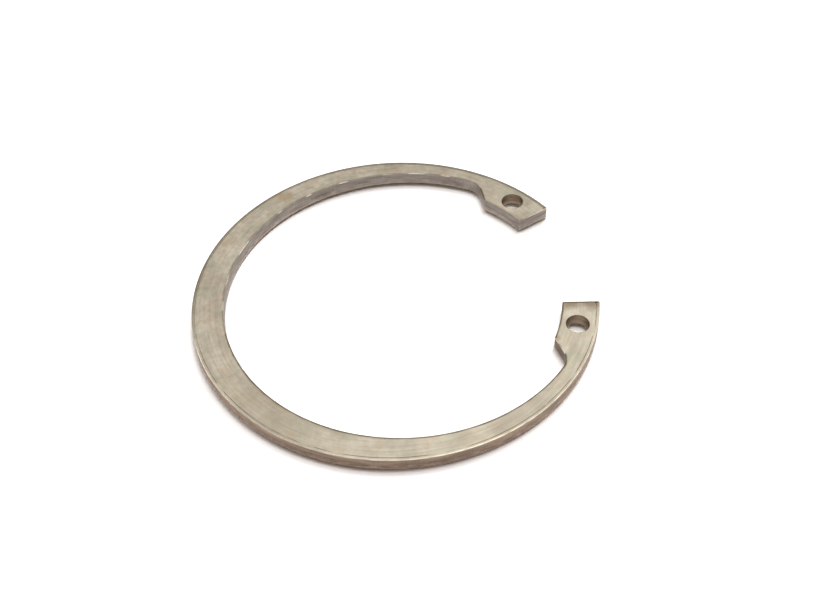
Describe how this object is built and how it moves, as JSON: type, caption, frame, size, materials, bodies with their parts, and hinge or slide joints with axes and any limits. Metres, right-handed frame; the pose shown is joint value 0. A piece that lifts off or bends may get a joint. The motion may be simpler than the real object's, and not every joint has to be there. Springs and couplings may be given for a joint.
{
  "type": "circlip retaining ring",
  "caption": "Flat open ring of spring steel with inward lugs and plier holes, which springs into a groove inside a round bore and holds a bearing or shaft in place.",
  "frame": {"origin": "middle of the ring's outer circle, halfway up the sheet", "axes": "+Z along the ring's axis, out of the face whose edges are rolled over; +X from the middle out through the mouth between the lugs; the left lug is at +Y and the right lug at -Y"},
  "size_m": [0.0874, 0.0904, 0.003],
  "materials": {
    "spring_steel": "satin, rolled and tumbled"
  },
  "bodies": {
    "root": {"retaining_ring": "spring_steel"}
  },
  "joints": []
}
